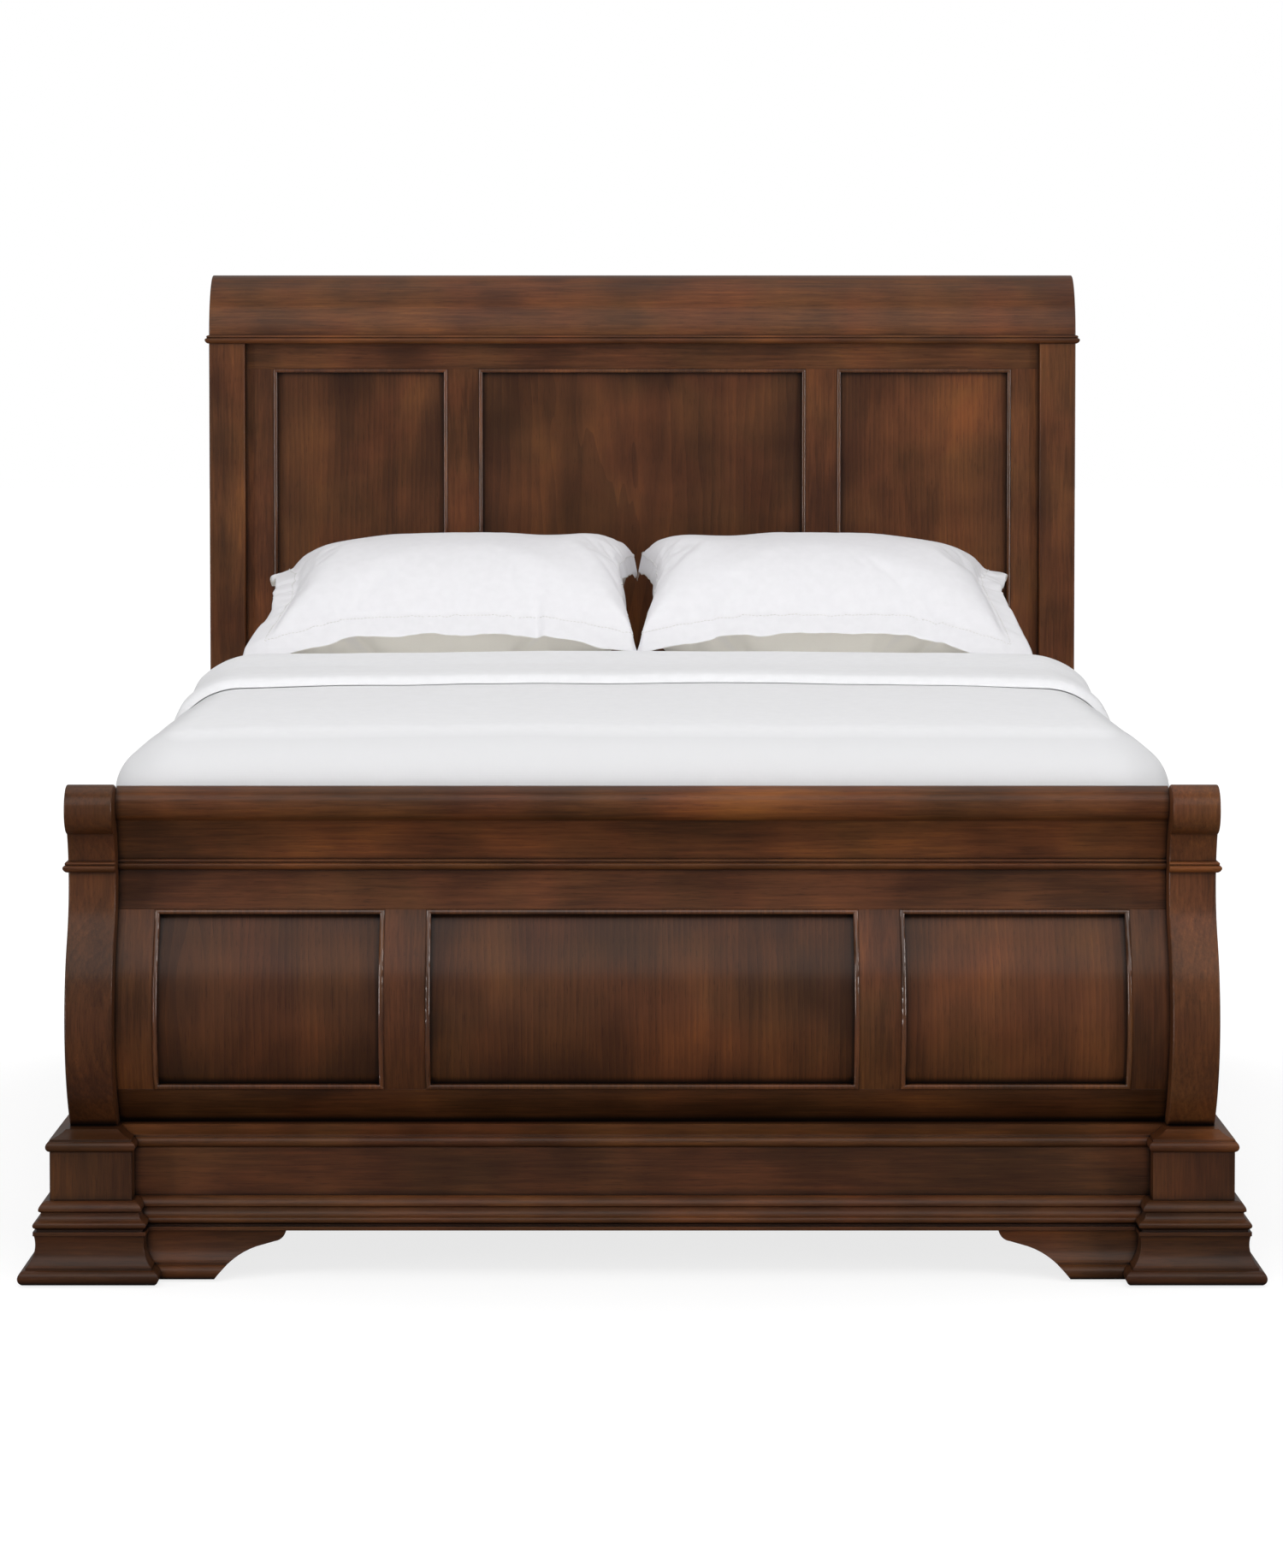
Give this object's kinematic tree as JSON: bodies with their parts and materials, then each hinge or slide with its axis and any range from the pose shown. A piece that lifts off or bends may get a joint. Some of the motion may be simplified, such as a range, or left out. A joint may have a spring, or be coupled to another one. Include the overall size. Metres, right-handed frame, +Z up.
{
  "type": "sleigh bed",
  "caption": "Sleigh bed: panelled headboard with rolled crest, lower S-curved footboard with scrolled posts on moulded plinths, side rails, mattress, duvet and pillows.",
  "frame": {"origin": "bottom centre of the whole bed's box, on the floor", "axes": "+Z up, +Y from the footboard to the headboard, +X to the right seen from the foot"},
  "size_m": [1.78, 2.3569, 1.4845],
  "materials": {
    "cherry": "satin",
    "cherry_panel": "satin",
    "poplar": "matte",
    "zinc_steel": "satin",
    "nylon": "matte",
    "ticking": "matte",
    "white_cotton": "matte"
  },
  "bodies": {
    "bed": {"base_cap_moulding": "cherry", "base_fascia": "cherry", "base_middle_moulding": "cherry", "bracket_feet": "cherry", "centre_legs": "poplar", "corner_blocks": "poplar", "duvet": "white_cotton", "duvet_turndown": "white_cotton", "floor_glides": "nylon", "footboard_bead": "cherry", "footboard_bottom_rail": "cherry", "footboard_frieze": "cherry", "footboard_muntins": "cherry", "footboard_panel_centre": "cherry_panel", "footboard_panel_left": "cherry_panel", "footboard_panel_mouldings": "cherry", "footboard_panel_right": "cherry_panel", "footboard_post_left": "cherry", "footboard_post_right": "cherry", "footboard_roll": "cherry", "footboard_stiles": "cherry", "footboard_top_rail": "cherry", "foundation": "ticking", "headboard_bead": "cherry", "headboard_bottom_rail": "cherry", "headboard_crest": "cherry", "headboard_muntins": "cherry", "headboard_panel_centre": "cherry_panel", "headboard_panel_left": "cherry_panel", "headboard_panel_mouldings": "cherry", "headboard_panel_right": "cherry_panel", "headboard_post_left": "cherry", "headboard_post_right": "cherry", "headboard_stiles": "cherry", "headboard_top_rail": "cherry", "leveller_inserts": "zinc_steel", "mattress": "ticking", "pillow_left": "white_cotton", "pillow_right": "white_cotton", "plinth_block_left": "cherry", "plinth_block_right": "cherry", "plinth_caps": "cherry", "plinth_foot_left": "cherry", "plinth_foot_right": "cherry", "plinth_middle_mouldings": "cherry", "post_slot_plates": "zinc_steel", "rail_hook_plates": "zinc_steel", "side_rail_left": "cherry", "side_rail_right": "cherry", "slat_1": "poplar", "slat_2": "poplar", "slat_3": "poplar", "slat_ledgers": "poplar", "wood_screws": "zinc_steel"},
    "pad_1": {"leveller_pad_1": "nylon"},
    "stem_1": {"leveller_stem_1": "zinc_steel"},
    "pad_2": {"leveller_pad_2": "nylon"},
    "stem_2": {"leveller_stem_2": "zinc_steel"},
    "pad_3": {"leveller_pad_3": "nylon"},
    "stem_3": {"leveller_stem_3": "zinc_steel"}
  },
  "joints": [
    {"name": "leveller_1_travel", "type": "slide", "parent": "bed", "child": "pad_1", "axis": [0, 0, 1], "range_m": [-0.005, 0.01]},
    {"name": "leveller_1_turn", "type": "hinge", "parent": "pad_1", "child": "stem_1", "pos_m": [0, -0.5965, 0.03], "axis": [0, 0, 1], "range_deg": [-1440, 2880]},
    {"name": "leveller_2_travel", "type": "slide", "parent": "bed", "child": "pad_2", "axis": [0, 0, 1], "range_m": [-0.005, 0.01]},
    {"name": "leveller_2_turn", "type": "hinge", "parent": "pad_2", "child": "stem_2", "pos_m": [0, -0.0265, 0.03], "axis": [0, 0, 1], "range_deg": [-1440, 2880]},
    {"name": "leveller_3_travel", "type": "slide", "parent": "bed", "child": "pad_3", "axis": [0, 0, 1], "range_m": [-0.005, 0.01]},
    {"name": "leveller_3_turn", "type": "hinge", "parent": "pad_3", "child": "stem_3", "pos_m": [0, 0.5435, 0.03], "axis": [0, 0, 1], "range_deg": [-1440, 2880]}
  ],
  "couplings": [
    {"joint": "leveller_1_turn", "follows": "leveller_1_travel", "rad_per_m": 5026.5},
    {"joint": "leveller_2_turn", "follows": "leveller_2_travel", "rad_per_m": 5026.5},
    {"joint": "leveller_3_turn", "follows": "leveller_3_travel", "rad_per_m": 5026.5}
  ]
}
